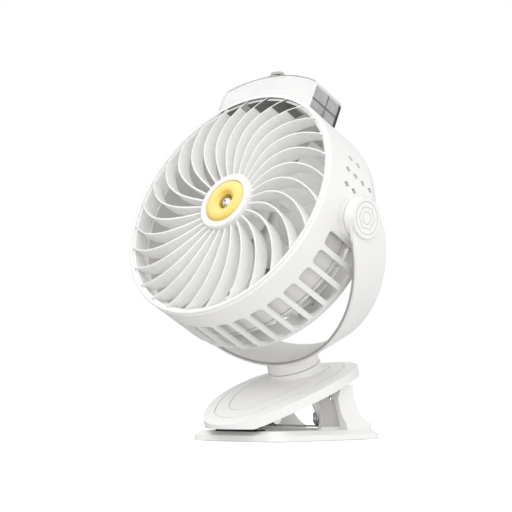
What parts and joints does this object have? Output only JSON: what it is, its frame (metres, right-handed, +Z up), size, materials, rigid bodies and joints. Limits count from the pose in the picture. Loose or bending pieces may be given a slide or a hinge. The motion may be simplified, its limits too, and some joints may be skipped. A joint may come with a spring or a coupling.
{
  "type": "clip-on misting fan",
  "caption": "Portable clip-on fan: a round drum with a swirl grille and water-mist nozzle, held by a U-shaped yoke that swivels on a sprung clip base.",
  "frame": {"origin": "middle of the rubber sole's underside, where the clip base stands", "axes": "+Z up, away from the surface the base stands on; the fan blows towards -Y, up by its tilt; the tilt axis lies along X"},
  "size_m": [0.1906, 0.1537, 0.2478],
  "materials": {
    "white_shell": "satin moulded plastic, warm white",
    "white_cap": "satin moulded plastic, warm white",
    "white_inner": "plain moulded plastic, white",
    "white_fan": "moulded plastic, milky white",
    "button_white": "satin moulded plastic, white",
    "black_rubber": "matt black rubber",
    "dark_seal": "dark rubber",
    "plug_grey": "soft grey silicone rubber",
    "bright_steel": "bright zinc-plated steel",
    "screw_steel": "zinc-plated steel",
    "spring_wire": "drawn spring steel",
    "motor_can": "plated steel can",
    "grey_nylon": "grey nylon",
    "accent_gloss": "glossy yellow plastic",
    "nozzle_chrome": "bright plated metal",
    "piezo_brass": "thin brass disc",
    "cotton": "pressed cotton",
    "clear_tube": "clear soft tube",
    "clear_tank": "clear moulded plastic",
    "cell_wrap": null,
    "board_green": "green circuit board",
    "lens_clear": "clear light pipe"
  },
  "bodies": {
    "clip_base": {"base_jaw": "white_shell", "sole_pad": "black_rubber", "lower_grip_pad": "black_rubber", "hinge_pin": "bright_steel", "pin_clips": "bright_steel", "clip_spring": "spring_wire"},
    "clip_jaw": {"top_jaw": "white_shell", "upper_grip_pad": "black_rubber"},
    "yoke": {"yoke": "white_shell", "swivel_screw": "screw_steel", "swivel_washer": "screw_steel", "pivot_caps": "white_cap"},
    "head": {"drum": "white_shell", "pivot_screws": "screw_steel", "friction_washers": "grey_nylon", "front_grille": "white_shell", "accent_ring": "accent_gloss", "mist_nozzle": "nozzle_chrome", "atomiser_disc": "piezo_brass", "atomiser_seal": "dark_seal", "wick": "cotton", "hub_cap": "white_shell", "water_tube": "clear_tube", "tank_seal": "dark_seal", "air_shroud": "white_inner", "rear_grille": "white_shell", "grille_screws": "screw_steel", "motor": "motor_can", "motor_screws": "screw_steel", "battery_cells": "cell_wrap", "control_board": "board_green", "usb_socket": "bright_steel", "pod_cover": "white_shell", "pod_screws": "screw_steel", "indicator_lenses": "lens_clear"},
    "fan_rotor": {"impeller": "white_fan", "motor_shaft": "bright_steel"},
    "fan_button": {"fan_button": "button_white"},
    "mist_button": {"mist_button": "button_white"},
    "tank": {"tank": "clear_tank"},
    "tank_plug": {"tank_plug": "plug_grey"}
  },
  "joints": [
    {"name": "jaw_open", "type": "hinge", "parent": "clip_base", "child": "clip_jaw", "pos_m": [0, 0.0097, 0.0148], "axis": [-1, 0, 0], "range_deg": [0, 20], "stiffness_Nm_per_rad": 2.5, "springref_deg": -28.65, "deforming": ["clip_spring"]},
    {"name": "yoke_swivel", "type": "hinge", "parent": "clip_jaw", "child": "yoke", "pos_m": [0, 0.0097, 0.042], "axis": [0, -0.3811, 0.9245], "range_deg": [-180, 180]},
    {"name": "head_tilt", "type": "hinge", "parent": "yoke", "child": "head", "pos_m": [0, -0.0316, 0.1422], "axis": [-1, 0, 0], "range_deg": [-90, 90]},
    {"name": "fan_spin", "type": "hinge", "parent": "head", "child": "fan_rotor", "pos_m": [0, -0.0316, 0.1422], "axis": [0, -0.8973, 0.4415], "continuous": true},
    {"name": "fan_press", "type": "slide", "parent": "head", "child": "fan_button", "axis": [0, -0.8973, 0.4415], "range_m": [0, 0.0008], "stiffness_N_per_m": 600},
    {"name": "mist_press", "type": "slide", "parent": "head", "child": "mist_button", "axis": [0, -0.8973, 0.4415], "range_m": [0, 0.0008], "stiffness_N_per_m": 600},
    {"name": "tank_lift", "type": "slide", "parent": "head", "child": "tank", "axis": [0, 0.4415, 0.8973], "range_m": [0, 0.03]},
    {"name": "plug_lift", "type": "slide", "parent": "tank", "child": "tank_plug", "axis": [0, 0.4415, 0.8973], "range_m": [0, 0.008]}
  ]
}
